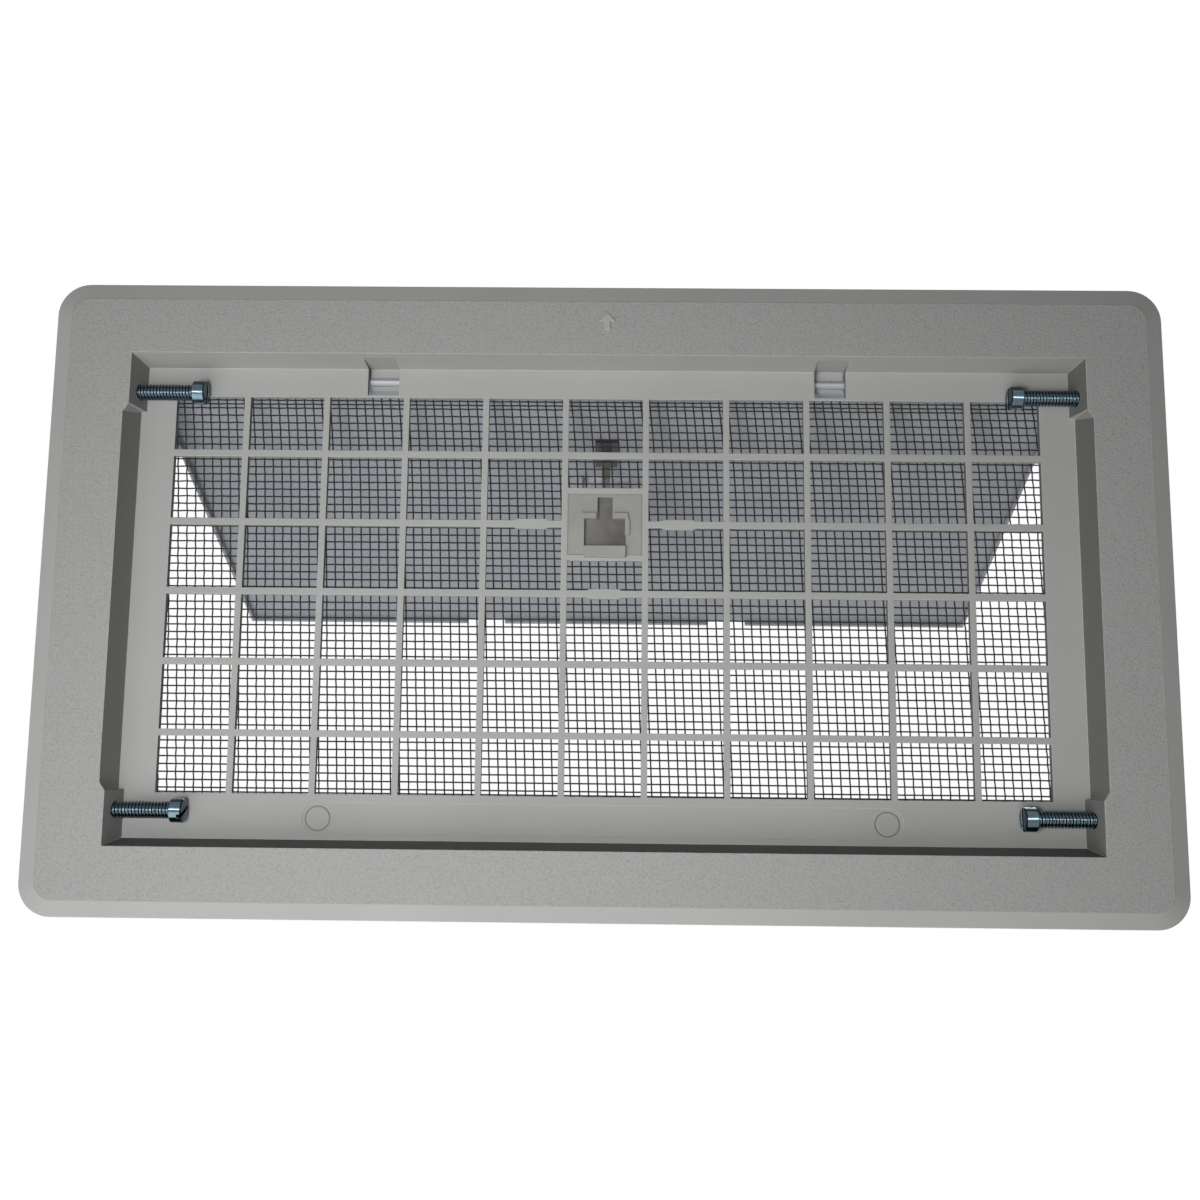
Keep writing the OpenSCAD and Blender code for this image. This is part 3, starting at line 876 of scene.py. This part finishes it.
@dataclass
class ScrewSet:
    """The four jack screws in the corners of the recess."""

    upper_z: float = 80.0
    lower_z: float = -82.7
    plating: PlatedMetal = PlatedMetal("bright_zinc_plate", "#60707a", "#3a464c", 0.15)
    places: dict[str, tuple[str, Side, bool]] = field(default_factory=lambda: {
        "screw_top_left": ("screw_tl", Side.LEFT, True),
        "screw_top_right": ("screw_tr", Side.RIGHT, True),
        "screw_bottom_left": ("screw_bl", Side.LEFT, False),
        "screw_bottom_right": ("screw_br", Side.RIGHT, False),
    })

    def build(self) -> None:
        """Builds the four screws in one plating."""
        material = self.plating.build()
        for node, (body, side, upper) in self.places.items():
            JackScrew(node, body, side, self.upper_z if upper else self.lower_z).build(material)


@dataclass(frozen=True)
class Lamp:
    """A lamp that faces the middle of the vent: its place and its two sides in metres, its power in watts.

    One that doesn't light is a bright card, which only shows in the metal as a highlight.
    """

    name: str
    place: tuple[float, float, float]
    size: tuple[float, float]
    power: float
    colour: str = "#ffffff"
    lights: bool = True

    def build(self) -> None:
        """Adds the lamp to the scene."""
        light = bpy.data.lights.new(self.name, "AREA")
        light.shape = "RECTANGLE"
        light.size, light.size_y = self.size
        light.energy = self.power
        light.color = linear(self.colour)[:3]
        lamp = bpy.data.objects.new(self.name, light)
        lamp.visible_camera = False
        lamp.visible_diffuse = self.lights
        back = np.array(self.place) / np.linalg.norm(self.place)
        right = np.cross([0, 0, 1], back)
        right /= np.linalg.norm(right)
        lamp.matrix_world = placed(right, np.cross(back, right), back, self.place)
        bpy.context.scene.collection.objects.link(lamp)


@dataclass
class Studio:
    """A pale floor, a white backdrop, soft lamps and the camera."""

    floor_z: float = -0.75
    floor_half: float = 4.0
    floor_colour: str = "#e9e9e7"
    floor_lift: float = 1.0
    ambient: float = 0.05
    lamps: tuple[Lamp, ...] = (
        Lamp("low_key_lamp", (-0.2, -0.5, -0.52), (0.7, 0.7), 4.0),
        Lamp("front_lamp", (-0.12, -0.45, -0.08), (0.12, 0.12), 1.5),
        Lamp("under_lamp", (-0.3, 0.03, -0.6), (0.5, 0.5), 0.9, "#e8eeff"),
        Lamp("back_lamp", (0.7, 1.3, 0.9), (1.0, 1.0), 12.0),
        Lamp("highlight_strip", (0.0, -0.55, 0.03), (1.0, 0.1), 4.0, lights=False),
    )
    camera_place: tuple[float, float, float] = (3.8, -441.9, -58.3)
    camera_right: tuple[float, float, float] = (0.99989, 0.0106, 0.0104)
    camera_down: tuple[float, float, float] = (0.00898, 0.12608, -0.99198)
    camera_forward: tuple[float, float, float] = (-0.01183, 0.99196, 0.12597)
    lens: float = 35.335

    def seen_directly(self, tree: Tree) -> Socket:
        """A factor that is 1 for camera, glossy and transmission rays.

        Args:
            tree: The node tree of the world or of a material.

        Returns:
            The socket of the factor.
        """
        path = add_node(tree, "ShaderNodeLightPath")
        shiny = add_node(tree, "ShaderNodeMath", {0: path.outputs["Is Camera Ray"], 1: path.outputs["Is Glossy Ray"]},
                         operation="MAXIMUM").outputs[0]
        return add_node(tree, "ShaderNodeMath", {0: shiny, 1: path.outputs["Is Transmission Ray"]},
                        operation="MAXIMUM").outputs[0]

    def world(self) -> None:
        """A world that is white where it is seen and a dim even light elsewhere."""
        world = bpy.data.worlds.new("white_backdrop")
        world.use_nodes = True
        tree = world.node_tree
        tree.nodes.clear()
        dim = add_node(tree, "ShaderNodeBackground", {"Color": (1, 1, 1, 1), "Strength": self.ambient})
        white = add_node(tree, "ShaderNodeBackground", {"Color": (1, 1, 1, 1), "Strength": 1.0})
        mix = add_node(tree, "ShaderNodeMixShader", {0: self.seen_directly(tree), 1: dim.outputs[0],
                                                     2: white.outputs[0]})
        add_node(tree, "ShaderNodeOutputWorld", {"Surface": mix.outputs[0]})
        bpy.context.scene.world = world

    def floor(self) -> None:
        """A level floor, lifted to white where it is seen, which keeps the vent's shadow."""
        h = self.floor_half
        corners = np.array([[-h, -h, self.floor_z], [h, -h, self.floor_z], [h, h, self.floor_z],
                            [-h, h, self.floor_z]]) / MM
        floor = mesh_object("studio_floor", corners, [np.array([[0, 1, 2, 3]])], smooth=False)
        material, tree = new_material("pale_matt_floor")
        matt = add_node(tree, "ShaderNodeBsdfDiffuse", {"Color": linear(self.floor_colour)})
        glow = add_node(tree, "ShaderNodeMath", {0: self.seen_directly(tree), 1: self.floor_lift},
                        operation="MULTIPLY").outputs[0]
        lift = add_node(tree, "ShaderNodeEmission", {"Color": (1, 1, 1, 1), "Strength": glow})
        both = add_node(tree, "ShaderNodeAddShader", {0: matt.outputs[0], 1: lift.outputs[0]})
        output(tree, both.outputs[0])
        floor.data.materials.append(material)

    def camera(self) -> None:
        """Sets the camera where the photograph was taken from."""
        data = bpy.data.cameras.new("photo_camera")
        data.sensor_width = 36
        data.lens = self.lens
        data.clip_start = 0.01
        camera = bpy.data.objects.new("photo_camera", data)
        camera.matrix_world = placed(np.array(self.camera_right), -np.array(self.camera_down),
                                     -np.array(self.camera_forward), np.array(self.camera_place) * MM)
        bpy.context.scene.collection.objects.link(camera)
        bpy.context.scene.camera = camera

    def build(self) -> None:
        """Sets up the world, the floor, the lamps and the camera."""
        self.world()
        self.floor()
        for lamp in self.lamps:
            lamp.build()
        self.camera()
        bpy.context.scene.view_settings.view_transform = "Standard"


def placed(x: Array, y: Array, z: Array, place: Any) -> Matrix:
    """The matrix with these axes and this place.

    Args:
        x: Direction of the object's own X.
        y: Direction of its own Y.
        z: Direction of its own Z.
        place: Where its origin is, in metres.

    Returns:
        The 4 by 4 matrix.
    """
    made = np.eye(4)
    made[:3, :4] = np.column_stack([x, y, z, place])
    return Matrix(made.tolist())


def main() -> None:
    """Builds every part of the vent and the studio."""
    logging.basicConfig(level=logging.INFO, format="%(name)s: %(message)s")
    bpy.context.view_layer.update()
    MouldedFrame().build()
    InsectScreen().build()
    Damper().build()
    Thermostat().build()
    ScrewSet().build()
    Studio().build()
    bpy.context.view_layer.update()


if __name__ == "__main__":
    main()
